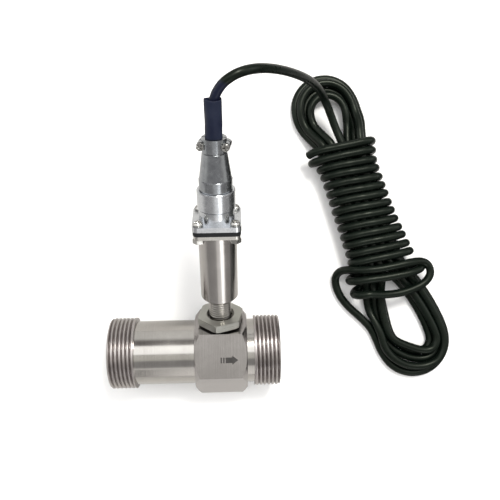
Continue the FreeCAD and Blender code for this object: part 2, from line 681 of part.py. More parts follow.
def coupling_ring():
    """Smooth ring that turns about the plug and holds it to the panel half."""
    outer, bore = COUPLING_DIA / 2, BARREL_DIA / 2 + RUNNING_GAP
    lip = PLUG_NECK_DIA / 2 + RUNNING_GAP
    under_lip = Z_RING_TOP - COUPLING_LIP
    edge = SEAT_GAP * 2
    return spin_about_stem([
        (bore, Z_RING), (outer - edge, Z_RING), (outer, Z_RING + edge), (outer, Z_RING_TOP - edge),
        (outer - edge, Z_RING_TOP), (lip, Z_RING_TOP), (lip, under_lip), (bore, under_lip),
    ])


def clamp_half(front, base):
    """Half of the cable saddle: a half band with two pierced ears, before its turn about the stem."""
    height = Z_CLAMP_TOP - base
    middle = Z_CLAMP + CLAMP_HEIGHT / 2
    reach = 2 * CLAMP_EAR_OFFSET
    block = disc(CLAMP_BAND_DIA / 2, base, height)
    web_height = 2 * CLAMP_EAR_RADIUS
    web = Part.makeBox(2 * CLAMP_EAR_OFFSET, 2 * CLAMP_EAR_THICKNESS + CLAMP_SPLIT, web_height,
                       Vec(STEM_X - CLAMP_EAR_OFFSET, -CLAMP_EAR_THICKNESS - CLAMP_SPLIT / 2,
                           middle - CLAMP_EAR_RADIUS))
    block = block.fuse(web)
    depth = 2 * CLAMP_EAR_THICKNESS + CLAMP_SPLIT
    for side in (-1, 1):
        start = Vec(STEM_X + side * CLAMP_EAR_OFFSET, -depth / 2, middle)
        block = block.fuse(Part.makeCylinder(CLAMP_EAR_RADIUS, depth, start, Vec(0, 1, 0)))
    keep_y = -reach if front else CLAMP_SPLIT / 2
    keep = Part.makeBox(2 * reach, reach - CLAMP_SPLIT / 2, height + 2,
                        Vec(STEM_X - reach, keep_y, base - 1))
    block = block.common(keep).cut(disc(SLEEVE_RADIUS, base - 1, height + 2))
    hole = CLAMP_SCREW_DIA / 2 + (SCREW_GAP if front else 0)
    for side in (-1, 1):
        start = Vec(STEM_X + side * CLAMP_EAR_OFFSET, -depth, middle)
        block = block.cut(Part.makeCylinder(hole, 2 * depth, start, Vec(0, 1, 0)))
        head_seat = Vec(STEM_X + side * CLAMP_EAR_OFFSET, -depth / 2, middle)
        seat_radius = CLAMP_HEAD_DIA / 2 + SLIP_GAP
        block = block.cut(Part.makeCylinder(seat_radius, depth, head_seat, Vec(0, -1, 0)))
    return block


def turn_clamp(shape):
    """Turns a piece of the saddle about the stem to where the connector was tightened."""
    shape.rotate(Vec(STEM_X, 0, 0), Vec(0, 0, 1), CLAMP_TURN)
    return shape


def backshell():
    """Conical cover behind the plug, with the rear half of the cable saddle on its tip."""
    outer, tip = BACKSHELL_DIA / 2, BACKSHELL_TIP_DIA / 2
    band_top = Z_BACKSHELL + BACKSHELL_BAND
    cone_top = Z_CLAMP - BACKSHELL_STEP
    seat = Z_BACKSHELL + PLUG_THREAD_LENGTH + SEAT_GAP
    throat = SLEEVE_RADIUS + SLIP_GAP
    cover = spin_about_stem([
        (PLUG_THREAD_DIA / 2, Z_BACKSHELL), (outer, Z_BACKSHELL), (outer, band_top),
        (outer - BACKSHELL_STEP, band_top + BACKSHELL_STEP), (tip, cone_top),
        (tip - BACKSHELL_STEP, Z_CLAMP), (throat, Z_CLAMP),
        (throat, Z_CLAMP - 2 * BACKSHELL_WALL),
        (PLUG_THREAD_DIA / 2 - BACKSHELL_WALL, seat + BACKSHELL_WALL),
        (PLUG_THREAD_DIA / 2, seat),
    ])
    return cover.fuse(turn_clamp(clamp_half(False, Z_CLAMP)))


def cable_clamp():
    return turn_clamp(clamp_half(True, Z_CLAMP + SEAT_GAP))


def clamp_screws():
    """Two screws that draw the saddle's halves together."""
    middle = Z_CLAMP + CLAMP_HEIGHT / 2
    face = CLAMP_EAR_THICKNESS + CLAMP_SPLIT / 2
    screws = []
    for side in (-1, 1):
        x = STEM_X + side * CLAMP_EAR_OFFSET
        shank = Part.makeCylinder(CLAMP_SCREW_DIA / 2, 2 * face, Vec(x, -face, middle), Vec(0, 1, 0))
        head = Part.makeCylinder(CLAMP_HEAD_DIA / 2, CLAMP_HEAD_HEIGHT,
                                 Vec(x, -face - CLAMP_HEAD_HEIGHT, middle), Vec(0, 1, 0))
        screws.append(turn_clamp(shank.fuse(head)))
    return Part.makeCompound(screws)


def cable_sleeve():
    """Heat-shrunk sleeve on the cable, gripped by the saddle and opened out at its mouth."""
    base = Z_CLAMP - SLEEVE_HIDDEN
    return spin_about_stem([
        (CABLE_RADIUS, base), (SLEEVE_RADIUS, base), (SLEEVE_RADIUS, Z_SLEEVE_TOP),
        (SLEEVE_RADIUS - SLEEVE_LIP, Z_SLEEVE_TOP), (CABLE_RADIUS, Z_CABLE_EXIT),
    ])


def cable_core():
    """Stretch of the cable inside the backshell and the sleeve."""
    return disc(CABLE_RADIUS, Z_CABLE_START, Z_CABLE_EXIT - Z_CABLE_START)


def lay_down(shape):
    """Lays a piece of the upright meter over onto its flat."""
    shape.rotate(Vec(0, 0, 0), Vec(1, 0, 0), -LAY_ANGLE)
    return shape


# Route of the free cable, from inside the sleeve's mouth to the first wrap, in the laid frame
CABLE_EXIT = lay_down(Part.Vertex(Vec(STEM_X, 0, Z_CABLE_EXIT))).Point
EXIT_RUN = 2.0
EXIT_WAY = Vec(0, math.sin(math.radians(LAY_ANGLE)), math.cos(math.radians(LAY_ANGLE)))
LEAD_ROUTE = [
    CABLE_EXIT, CABLE_EXIT + EXIT_WAY * EXIT_RUN, Vec(66.7, 134.7, 77.8), Vec(69.8, 138.8, 80.3),
    Vec(72.7, 140.9, 82.0), Vec(76.8, 143.3, 82.7), Vec(81.9, 145.5, 81.2), Vec(87.3, 147.8, 76.4),
    Vec(93.3, 150.2, 68.4), Vec(99.8, 152.5, 58.2), Vec(106.6, 154.5, 46.6),
    Vec(113.7, 156.1, 34.0), Vec(120.6, 157.1, 20.6), Vec(126.6, 156.1, 8.8),
    Vec(130.9, 153.1, -0.2), Vec(134.3, 148.3, -6.0), Vec(136.9, 142.6, -9.1),
    Vec(138.9, 137.0, -10.4), Vec(141.8, 129.6, -11.0),
]

# Hank on the table: its frame runs along the wraps (u) and across them (v)
HANK_CENTRE = Vec(153.6, 92.5, 0)
HANK_ANGLE = -70.9
WRAP_UPPER_END = -38.5
WRAP_LOWER_END = 45.5
WRAP_HEIGHT = 20.0
WRAP_WIDTH_MIDDLE = 37.0
WRAP_WIDTH_END = 42.0
WRAP_WAIST = 22.0
BUNDLE_HEIGHT = 10.0
LOOSE_TURN_HEIGHT = 12.2
LOOSE_TURN_ROUTE = [
    (36.0, 16.0), (46.0, 22.0), (55.5, 25.5), (63.0, 21.5), (64.5, 12.0), (62.5, 0.0), (59.0, -12.0),
    (54.0, -24.0),
]
LOOSE_LOOP_ROUTE = [
    (34.0, -15.0), (36.5, -26.0), (44.0, -33.0), (55.0, -33.5), (65.0, -29.0), (74.0, -22.5),
    (83.0, -15.0),
]


def hank_point(u, v, height):
    """Point of the hank from its own coordinates and its height above the table."""
    angle = math.radians(HANK_ANGLE)
    along = Vec(math.cos(angle), math.sin(angle), 0)
    across = Vec(-math.sin(angle), math.cos(angle), 0)
    return HANK_CENTRE + along * u + across * v + Vec(0, 0, TABLE + height)


def tangent_path(points):
    """Straight runs joined by tangent arcs, as large as the two runs at each corner allow."""
    edges = []
    radii = []
    here = points[0]
    for before, corner, after in zip(points, points[1:], points[2:]):
        way_in = (corner - before).normalize()
        way_out = (after - corner).normalize()
        half_turn = way_in.getAngle(way_out) / 2
        trim = 0.45 * min((corner - before).Length, (after - corner).Length)
        radius = trim / math.tan(half_turn)
        start = corner - way_in * trim
        end = corner + way_out * trim
        inwards = (way_out - way_in).normalize()
        middle = corner + inwards * (radius / math.cos(half_turn) - radius)
        edges.append(Part.LineSegment(here, start).toShape())
        edges.append(Part.Arc(start, middle, end).toShape())
        radii.append(radius)
        here = end
    edges.append(Part.LineSegment(here, points[-1]).toShape())
    return Part.Wire(edges), radii


def cord_tube(points, radius):
    """Round tube along a route, with its path and the radii of its arcs."""
    path, radii = tangent_path(points)
    circle = Part.makeCircle(radius, points[0], points[1] - points[0])
    solid = path.makePipeShell([Part.Wire(circle)], True, True)
    return solid, path, radii


def cable_lead():
    """Free cable from the sleeve over the hank's upper loop to the first wrap."""
    solid, path, radii = cord_tube(LEAD_ROUTE, CABLE_RADIUS)
    section = math.pi * CABLE_RADIUS ** 2
    print("lead length %.1f, volume over section times length %.4f" % (
        path.Length, solid.Volume / (section * path.Length)))
    print("lead radii " + ", ".join("%.1f" % r for r in radii))
    return solid


def stadium(u, width):
    """Section of the wraps across the hank: flat above and below, round at both sides."""
    radius = WRAP_HEIGHT / 2
    side = width / 2 - radius
    low_left, low_right = hank_point(u, -side, 0), hank_point(u, side, 0)
    high_left, high_right = hank_point(u, -side, WRAP_HEIGHT), hank_point(u, side, WRAP_HEIGHT)
    edges = [
        Part.LineSegment(low_left, low_right),
        Part.Arc(low_right, hank_point(u, width / 2, radius), high_right),
        Part.LineSegment(high_right, high_left),
        Part.Arc(high_left, hank_point(u, -width / 2, radius), low_left),
    ]
    return Part.Wire([edge.toShape() for edge in edges])


def loop_plate(end, corner_v, arc_u, opening):
    """Plan outline of the strands in one end loop: a bent band with a round end and an opening."""
    (low_v, high_v), (arc_low, arc_high) = corner_v, arc_u[1:]
    centre_u = arc_u[0]
    radius = (arc_high - arc_low) / 2
    middle_v = (arc_high + arc_low) / 2
    tip = centre_u + math.copysign(radius, centre_u)
    outline = [
        Part.LineSegment(hank_point(end, high_v, 0), hank_point(end, low_v, 0)),
        Part.LineSegment(hank_point(end, low_v, 0), hank_point(centre_u, arc_low, 0)),
        Part.Arc(hank_point(centre_u, arc_low, 0), hank_point(tip, middle_v, 0),
                 hank_point(centre_u, arc_high, 0)),
        Part.LineSegment(hank_point(centre_u, arc_high, 0), hank_point(end, high_v, 0)),
    ]
    plate = Part.Face(Part.Wire([edge.toShape() for edge in outline])).extrude(Vec(0, 0, BUNDLE_HEIGHT))
    (near_low, near_high), (far_u, far_low, far_high) = opening
    far_radius = (far_high - far_low) / 2
    far_tip = far_u + math.copysign(far_radius, far_u)
    hole = [
        Part.LineSegment(hank_point(end, near_high, -1), hank_point(end, near_low, -1)),
        Part.LineSegment(hank_point(end, near_low, -1), hank_point(far_u, far_low, -1)),
        Part.Arc(hank_point(far_u, far_low, -1), hank_point(far_tip, (far_low + far_high) / 2, -1),
                 hank_point(far_u, far_high, -1)),
        Part.LineSegment(hank_point(far_u, far_high, -1), hank_point(end, near_high, -1)),
    ]
    gap = Part.Face(Part.Wire([edge.toShape() for edge in hole])).extrude(Vec(0, 0, BUNDLE_HEIGHT + 2))
    return plate.cut(gap)


def cable_hank():
    """Outer shape of the tied hank: the wraps, both end loops and the two loose turns."""
    sections = [(WRAP_UPPER_END, WRAP_WIDTH_END), (-WRAP_WAIST, WRAP_WIDTH_MIDDLE),
                (WRAP_WAIST, WRAP_WIDTH_MIDDLE), (WRAP_LOWER_END, WRAP_WIDTH_END)]
    hank = Part.makeLoft([stadium(u, width) for u, width in sections], True, True)
    upper = loop_plate(WRAP_UPPER_END, (-17.5, 20.5), (-63.5, -18.0, 22.5),
                       ((-3.5, 8.5), (-63.0, -4.5, 8.5)))
    lower = loop_plate(WRAP_LOWER_END, (-16.0, 16.5), (98.0, -21.5, 26.5),
                       ((-0.5, 2.5), (89.0, -11.5, 11.5)))
    loose_loop = cord_tube([hank_point(u, v, CABLE_RADIUS) for u, v in LOOSE_LOOP_ROUTE], CABLE_RADIUS)
    loose_turn = cord_tube([hank_point(u, v, LOOSE_TURN_HEIGHT) for u, v in LOOSE_TURN_ROUTE], CABLE_RADIUS)
    for piece in (upper, lower, loose_loop[0], loose_turn[0]):
        hank = hank.fuse(piece)
    return hank


UPRIGHT = [
    meter_body, inlet_conditioner, outlet_conditioner, inlet_retaining_ring, outlet_retaining_ring,
    inlet_bush, outlet_bush, rotor, rotor_shaft, seal_washer, jam_nut, pickup_housing, coil_bobbin,
    coil_winding, pole_piece, pickup_magnet, board_holder, amplifier_board, coil_leads, signal_leads,
    housing_flange, flange_gasket, receptacle_shell, receptacle_insert, receptacle_pins,
    flange_screws, flange_nuts, plug_shell, plug_insert, plug_contacts, plug_leads, coupling_ring,
    backshell, cable_clamp, clamp_screws, cable_sleeve, cable_core,
]
LAID = [cable_lead, cable_hank]

os.makedirs("parts", exist_ok=True)
for make in UPRIGHT + LAID:
    shape = make()
    if make in UPRIGHT:
        shape = lay_down(shape)
    print("%-24s solids %d valid %s volume %.1f" % (
        make.__name__, len(shape.Solids), shape.isValid(), shape.Volume))
    shape.exportStep("parts/%s.step" % make.__name__)
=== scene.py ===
import itertools
import math
import bpy
import bmesh
from mathutils import Matrix, Vector


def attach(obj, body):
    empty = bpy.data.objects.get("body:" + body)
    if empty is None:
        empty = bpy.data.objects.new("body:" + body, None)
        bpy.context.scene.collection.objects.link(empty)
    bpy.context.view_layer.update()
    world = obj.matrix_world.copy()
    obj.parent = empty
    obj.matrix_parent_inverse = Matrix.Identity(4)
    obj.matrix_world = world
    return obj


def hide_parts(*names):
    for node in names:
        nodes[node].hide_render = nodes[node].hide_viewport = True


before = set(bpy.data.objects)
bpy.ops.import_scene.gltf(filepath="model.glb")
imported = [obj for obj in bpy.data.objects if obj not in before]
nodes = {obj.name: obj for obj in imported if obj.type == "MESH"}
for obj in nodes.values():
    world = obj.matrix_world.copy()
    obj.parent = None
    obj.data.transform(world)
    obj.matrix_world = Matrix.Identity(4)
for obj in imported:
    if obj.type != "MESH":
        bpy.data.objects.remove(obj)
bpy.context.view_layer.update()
MM = 0.001


def linked(name, data):
    """New object in the scene's collection."""
    obj = bpy.data.objects.new(name, data)
    bpy.context.scene.collection.objects.link(obj)
    return obj


# ---------------------------------------------------------------- camera
camera = linked("camera", bpy.data.cameras.new("camera"))
camera.data.lens = 43.2
camera.data.sensor_width = 36.0
camera.data.clip_start = 0.01
right = Vector((0.99946831, -0.0210831, 0.02487174))
up = Vector((0.02100194, 0.99977324, 0.00351976))
back = Vector((-0.0249403, -0.00299554, 0.99968445))
turn = Matrix((right, up, back)).transposed().to_4x4()
camera.matrix_world = Matrix.Translation((0.074877, 0.059474, 0.364808)) @ turn
bpy.context.scene.camera = camera
bpy.context.scene.view_settings.view_transform = "Standard"

# ---------------------------------------------------------------- cable
# All in millimetres. The lead is given in the frame's axes. What follows it is given in the hank's:
# u runs down its length, v across it, and z is the height.
CABLE_RADIUS = 2.5
HANK_CENTRE = (153.6, 92.5)
HANK_ANGLE = math.radians(-70.9)
# The spline cuts the corners between its points, so on an arc they stand a little outside it
ARC_REACH = 1.03
LOWER_FOLD_CENTRE = (98, 2.5)
UPPER_FOLD_V = 0.8
# Heights of the strands' middles: two layers outside the wraps, and the levels inside them
TABLE, SECOND = -19.5, -15.1
LOW, EDGE, TOP = -14.5, -13.9, -9.7
LEAD = [
    (65.6, 128.09, 73.95), (65.6, 129.82, 74.95), (66.7, 134.7, 77.8), (69.8, 138.8, 80.3),
    (72.7, 140.9, 82), (76.8, 143.3, 82.7), (81.9, 145.5, 81.2), (87.3, 147.8, 76.4), (93.3, 150.2, 68.4),
    (99.8, 152.5, 58.2), (106.6, 154.5, 46.6), (113.7, 156.1, 34), (120.6, 157.1, 20.6),
    (126.6, 156.1, 8.8), (130.9, 153.1, -0.2), (134.3, 148.3, -6), (137, 142.6, -9), (139.2, 136.9, -10),
    (142.1, 129.7, -10.2),
]


def hank(u, v, z):
    """Point of the hank in the frame's axes."""
    c, s = math.cos(HANK_ANGLE), math.sin(HANK_ANGLE)
    return (HANK_CENTRE[0] + c * u - s * v, HANK_CENTRE[1] + s * u + c * v, z)


def lower_fold(radius, z):
    """Half circle round the lower end, from the right to the left."""
    reach = radius * ARC_REACH
    u, v = LOWER_FOLD_CENTRE
    angles = [math.radians(a) for a in (90, 60, 30, 0, -30, -60, -90)]
    return [(u + reach * math.cos(a), v + reach * math.sin(a), z) for a in angles]


def upper_fold(radius, u, z):
    """Half circle round the upper end, from the left to the right."""
    reach = radius * ARC_REACH
    angles = [math.radians(a) for a in (-90, -60, -30, 0, 30, 60, 90)]
    return [(u - reach * math.cos(a), UPPER_FOLD_V + reach * math.sin(a), z) for a in angles]


# The strands down and up the hank, and the folds at its lower end and tips at its upper end between them
FIRST_DOWN = [
    (-14, 2.6, TOP), (16, 2.6, TOP), (45, 2.7, TOP), (57, 7.4, -12.6), (68, 12.0, SECOND),
    (82, 15.4, SECOND),
]
FOLD_1 = [
    (97, 17.2, SECOND), (103.4, 16.2, SECOND), (107.2, 11.4, SECOND), (105.6, 4.8, SECOND),
    (100.2, -2.2, SECOND), (94.4, -8.6, SECOND), (88.6, -11.6, SECOND),
]
UP_1 = [
    (82, -11.6, SECOND), (68, -9.6, SECOND), (60, -7.0, -13.0), (52, -3.9, -10.4), (42, -2.6, TOP),
    (16, -2.6, TOP), (-14, -2.6, TOP), (-37, -4.4, TOP), (-45, -7.8, -12.8), (-52, -10.4, SECOND),
]
TIP_1 = upper_fold(11.0, -57.5, SECOND)
DOWN_1 = [
    (-52, 11.4, SECOND), (-45, 9.6, -16.3), (-37, 6.2, LOW), (-14, 0.4, LOW), (16, 0.0, LOW),
    (49, 0.7, LOW), (59, 6.3, -17.0), (68, 9.8, TABLE), (82, 13.0, TABLE),
]
FOLD_2 = [
    (97, 14.2, TABLE), (103.6, 12.6, TABLE), (106.8, 7.2, TABLE), (105.0, 1.0, TABLE),
    (100.0, -4.8, TABLE), (93.6, -8.8, TABLE), (88, -9.8, TABLE),
]
UP_2 = [
    (82, -9.4, TABLE), (69, -7.8, TABLE), (60, -6.6, -17.8), (52, -5.8, -14.9), (42, -5.1, LOW),
    (16, -5.1, LOW), (-14, -5.1, LOW), (-37, -6.8, LOW), (-45, -10.3, -17.4), (-52, -13.0, TABLE),
]
TIP_2 = upper_fold(13.8, -58.7, TABLE)
DOWN_2 = [
    (-52, 14.6, TABLE), (-45, 14.4, -17.4), (-37, 11.2, LOW), (-14, 5.5, LOW), (16, 5.1, LOW),
    (49, 6.0, LOW), (59, 11.5, -17.0), (68, 14.8, TABLE), (82, 18.0, TABLE),
]
FOLD_3 = [
    (97, 19.3, TABLE), (105.4, 17.8, TABLE), (111.6, 12.2, TABLE), (112.0, 4.6, TABLE),
    (108.0, -3.6, TABLE), (101.4, -10.2, TABLE), (94, -14.0, TABLE), (88, -15.0, TABLE),
]
UP_3 = [
    (82, -14.5, TABLE), (70, -13.2, TABLE), (61, -11.2, -16.6), (52, -9.6, -11.4), (42, -8.0, TOP),
    (16, -7.8, TOP), (-14, -7.8, TOP), (-37, -9.7, TOP), (-45, -12.9, -12.6), (-52, -15.8, SECOND),
]
TIP_3 = upper_fold(16.6, -59.9, SECOND)
DOWN_3 = [
    (-52, 17.4, SECOND), (-45, 16.8, -12.6), (-37, 13.6, TOP), (-14, 8.2, TOP), (16, 7.8, TOP),
    (45, 8.2, TOP), (57, 13.0, -12.6), (68, 17.3, SECOND), (82, 20.6, SECOND),
]
FOLD_4 = [
    (97, 21.8, SECOND), (107.0, 20.4, SECOND), (114.6, 13.8, SECOND), (116.0, 4.6, SECOND),
    (112.7, -5.6, SECOND), (105.5, -13.1, SECOND), (97.6, -16.8, SECOND), (91.5, -16.8, SECOND),
]
UP_4 = [
    (86, -16.2, SECOND), (79, -16.6, -16.2), (70, -17.8, -19.3), (61, -16.2, -17.2), (52, -13.4, -14.5),
    (42, -10.6, EDGE), (16, -10.3, EDGE), (-14, -10.3, EDGE), (-37, -12.2, LOW), (-45, -15.4, -17.4),
    (-52, -18.0, TABLE),
]
TIP_4 = upper_fold(19.2, -61.0, TABLE)
DOWN_4 = [
    (-52, 20.3, TABLE), (-45, 19.6, -17.4), (-37, 16.2, LOW), (-14, 10.8, EDGE), (16, 10.3, EDGE),
    (49, 11.3, EDGE), (59, 16.5, -17.0), (68, 19.8, TABLE), (82, 22.8, TABLE),
]
FOLD_5 = lower_fold(21.2, TABLE)
# Out to the left, over the front into a loose turn and back, then once round close to the wraps
TAIL = [
    (90, -19.4, TABLE), (81.5, -20.2, TABLE), (73, -24.0, TABLE), (64.4, -28.8, TABLE),
    (56, -31.8, TABLE), (48.3, -32.2, TABLE), (42.4, -30.6, -18.2), (39.6, -26.6, -14.6),
    (40.7, -21.8, -9.6), (42.9, -16.4, -5.8), (45.0, -10, -4.3), (46.6, -3, -4.3), (47.8, 5, -4.3),
    (48.8, 12, -4.4), (49.8, 18.4, -5.6), (51.8, 23.4, -7.6), (55.8, 26.0, -8.6), (61.0, 25.2, -8.6),
    (64.8, 19.8, -8.4), (65.8, 11, -8.0), (65.2, 2, -8.0), (62.8, -7, -7.4), (60.2, -13, -5.8),
    (58.6, -17.4, -5.1), (57.6, -22.4, -7.2), (56.6, -24.5, -12.4), (55.6, -22.4, -17.7),
    (54.6, -17.4, TABLE), (53.2, -12, TABLE), (52.0, -6, TABLE), (51.4, 0, TABLE), (51.2, 6, TABLE),
    (51.7, 11.5, TABLE), (52.6, 15.6, TABLE), (53.8, 20.4, -17.8), (54.6, 22.4, -12.6),
    (55.2, 20.4, -7.5), (55.4, 15.2, -5.4), (54.8, 9.5, -4.8), (53.8, 4, -4.6), (52.6, -3, -4.5),
    (51.0, -10, -4.6), (49.6, -16.6, -5.0), (48.4, -22.0, -7.2), (47.6, -24.3, -12.4),
    (47.0, -22.2, -17.7), (46.4, -17.2, TABLE), (45.8, -11, TABLE), (45.2, -4, TABLE), (44.6, 2, TABLE),
    (44.0, 8, TABLE),
]
# Half widths of the wraps from the lowest to the highest, left and right of the hank's middle
WRAP_LEFT = [18.6, 18.2, 17.9, 17.6, 17.3, 17.1, 17.0, 16.7, 16.5, 16.4, 16.3, 16.9, 20.4, 18.6]
WRAP_RIGHT = [18.4, 17.9, 17.4, 16.9, 16.5, 16.3, 16.2, 16.2, 16.2, 16.3, 16.4, 16.8, 18.2, 20.0]
WRAP_PITCH = 5.62
WRAP_START = 42.9
# The wraps' sides are nearly round about a middle height, and their points stand outside the curve
WRAP_SIDE, WRAP_ARC, WRAP_MIDDLE = 7.5, 8.1, -12
WRAP_FRONT, WRAP_CREST = -4.4, -3.7
WRAP_SWAY = 0.2


def wrap_side(u, way, half_width, steps):
    """Points round the right side (way 1) or the left (-1). A step is an angle and a shift of u."""
    points = []
    for angle, shift in steps:
        a = math.radians(angle)
        across = half_width - WRAP_SIDE + WRAP_ARC * math.cos(a)
        height = (WRAP_SIDE if angle > 0 else WRAP_ARC) * math.sin(a)
        points.append((u + shift, way * across, WRAP_MIDDLE + height))
    return points


def wraps():
    """Fourteen tight turns from the lower end: over the front to the left, behind to the right."""
    points = []
    last = len(WRAP_LEFT) - 1
    for i, (left_half, right_half) in enumerate(zip(WRAP_LEFT, WRAP_RIGHT)):
        u = WRAP_START - WRAP_PITCH * i + WRAP_SWAY * math.sin(2.4 * i)
        right_flat, left_flat = right_half - WRAP_SIDE, left_half - WRAP_SIDE
        points += wrap_side(u, 1, right_half, ((-67.5, 0.25), (-22.5, 0.1), (22.5, -0.25), (67.5, -0.8)))
        points += [(u - 1.8, right_flat * 0.6, WRAP_FRONT), (u - 2.8, 0.0, WRAP_CREST),
                   (u - 3.9, -left_flat * 0.6, WRAP_FRONT)]
        if i < last:
            points += wrap_side(u, -1, left_half, ((67.5, -4.9), (22.5, -5.3), (-22.5, -5.5), (-67.5, -5.6)))
            next_flat = WRAP_RIGHT[i + 1] - WRAP_SIDE
            points += [(u - 5.6, -left_flat * 0.5, TABLE), (u - 5.65, 0.0, TABLE),
                       (u - 5.7, next_flat * 0.5, TABLE)]
    # The cut end, tucked in at the left
    return points + [(u - 5.0, -left_flat - 2.0, -4.6), (u - 5.4, -left_flat - 7.0, -6.2),
                     (u - 5.0, -left_half - 2.4, -9.6)]


hank_route = (
    FIRST_DOWN + FOLD_1 + UP_1 + TIP_1 + DOWN_1 + FOLD_2 + UP_2 + TIP_2 + DOWN_2 + FOLD_3 + UP_3 + TIP_3
    + DOWN_3 + FOLD_4 + UP_4 + TIP_4 + DOWN_4 + FOLD_5 + TAIL + wraps()
)
route = [Vector(p) * MM for p in LEAD + [hank(*p) for p in hank_route]]
line = bpy.data.curves.new("cable", "CURVE")
line.dimensions = "3D"
spline = line.splines.new("NURBS")
spline.points.add(len(route) - 1)
# The points carry the radius and the bevel is 1, because a curve's box grows by its points' radius
for point, place in zip(spline.points, route):
    point.co = (*place, 1.0)
    point.radius = CABLE_RADIUS * MM
spline.order_u = 3
spline.use_endpoint_u = True
spline.resolution_u = 5
line.bevel_depth = 1.0
line.bevel_resolution = 5
line.use_fill_caps = True
cable = linked("cable", line)
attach(cable, "meter")
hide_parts("cable_lead", "cable_hank")

# ---------------------------------------------------------------- materials
PIPE = (1.0, 0.0, 0.0)
STEM = (0.0, 0.8660254, 0.5)
STEM_X = 65.6
# A mix node's colour sockets, which share their names with its other sockets
MIX_FIRST, MIX_SECOND, MIX_RESULT = 6, 7, 2


class Nodes:
    """A node tree and the few nodes that its users share."""

    def __init__(self, tree):
        self.tree = tree

    def add(self, kind, **settings):
        node = self.tree.nodes.new(kind)
        for key, value in settings.items():
            setattr(node, key, value)
        return node

    def link(self, start, end):
        self.tree.links.new(start, end)

    def feed(self, value, socket):
        """Gives a socket a number, a colour or another node's output."""
        if isinstance(value, (int, float)):
            socket.default_value = value
        elif isinstance(value, tuple):
            socket.default_value = (*value, 1)
        else:
            self.link(value, socket)

    def math(self, operation, a, b=0.0):
        node = self.add("ShaderNodeMath", operation=operation)
        self.feed(a, node.inputs[0])
        self.feed(b, node.inputs[1])
        return node.outputs[0]

    def spread(self, value, low, high, start=0.3, end=0.7):
        """Value from start to end, spread from low to high."""
        node = self.add("ShaderNodeMapRange")
        self.link(value, node.inputs["Value"])
        node.inputs["From Min"].default_value = start
        node.inputs["From Max"].default_value = end
        node.inputs["To Min"].default_value = low
        node.inputs["To Max"].default_value = high
        return node.outputs["Result"]

    def mix(self, factor, first, second, blend_type="MIX"):
        node = self.add("ShaderNodeMix", data_type="RGBA", blend_type=blend_type)
        self.feed(factor, node.inputs["Factor"])
        self.feed(first, node.inputs[MIX_FIRST])
        self.feed(second, node.inputs[MIX_SECOND])
        return node.outputs[MIX_RESULT]

    def ramp(self, value, stops):
        """Colours along a value from -1 to 1. The stops' places run from 0 to 1."""
        node = self.add("ShaderNodeValToRGB")
        self.link(self.spread(value, 0.0, 1.0, -1.0, 1.0), node.inputs["Fac"])
        elements = node.color_ramp.elements
        for element, (place, colour) in zip(elements, (stops[0], stops[-1])):
            element.position, element.color = place, (*colour, 1)
        for place, colour in stops[1:-1]:
            elements.new(place).color = (*colour, 1)
        return node.outputs["Color"]


class Look(Nodes):
    """A procedural material."""

    def __init__(self, name, colour, metallic, roughness):
        self.material = bpy.data.materials.new(name)
        self.material.use_nodes = True
        super().__init__(self.material.node_tree)
        self.shader = self.tree.nodes["Principled BSDF"]
        self.shader.inputs["Base Color"].default_value = (*colour, 1)
        self.shader.inputs["Metallic"].default_value = metallic
        self.shader.inputs["Roughness"].default_value = roughness
        self.object_place = self.add("ShaderNodeTexCoord").outputs["Object"]
        self.bumps = None

    def measure(self, operation, other):
        """Dot product or distance of the place on the object with another vector, in metres."""
        node = self.add("ShaderNodeVectorMath", operation=operation)
        self.link(self.object_place, node.inputs[0])
        node.inputs[1].default_value = other
        return node.outputs["Value"]

    def along(self, axis):
        return self.measure("DOT_PRODUCT", axis)

    def between(self, axis, low, high):
        """Mask that is 1 between two places along an axis and 0 elsewhere."""
        place = self.along(axis)
        above = self.math("GREATER_THAN", place, low)
        return self.math("MULTIPLY", above, self.math("LESS_THAN", place, high))

    def noise(self, scale, detail=4.0, rough=0.6):
        node = self.add("ShaderNodeTexNoise")
        node.inputs["Scale"].default_value = scale
        node.inputs["Detail"].default_value = detail
        node.inputs["Roughness"].default_value = rough
        self.link(self.object_place, node.inputs["Vector"])
        return node.outputs["Fac"]

    def lines(self, axis, scale, detail=3.0):
        """Fine lines left by turning: they run round the axis."""
        node = self.add("ShaderNodeTexNoise", noise_dimensions="1D")
        node.inputs["Scale"].default_value = scale
        node.inputs["Detail"].default_value = detail
        self.link(self.along(axis), node.inputs["W"])
        return node.outputs["Fac"]

    def rough(self, value, low, high):
        self.link(self.spread(value, low, high), self.shader.inputs["Roughness"])

    def rougher(self, value):
        """Adds to the roughness."""
        socket = self.shader.inputs["Roughness"]
        self.link(self.math("ADD", socket.links[0].from_socket, value), socket)

    def blend(self, value, first, second, start=0.35, end=0.65):
        return self.mix(self.spread(value, 0.0, 1.0, start, end), first, second)

    def colour(self, value, first, second):
        self.link(self.blend(value, first, second), self.shader.inputs["Base Color"])

    def overlay(self, mask, colour, blend_type="MIX"):
        """Lays a colour over the base colour where a mask is 1."""
        socket = self.shader.inputs["Base Color"]
        self.link(self.mix(mask, socket.links[0].from_socket, colour, blend_type), socket)

    def bump(self, value, depth_mm):
        node = self.add("ShaderNodeBump")
        node.inputs["Strength"].default_value = 1.0
        node.inputs["Distance"].default_value = depth_mm * MM
        self.link(value, node.inputs["Height"])
        if self.bumps:
            self.link(self.bumps, node.inputs["Normal"])
        self.bumps = node.outputs["Normal"]
        self.link(self.bumps, self.shader.inputs["Normal"])


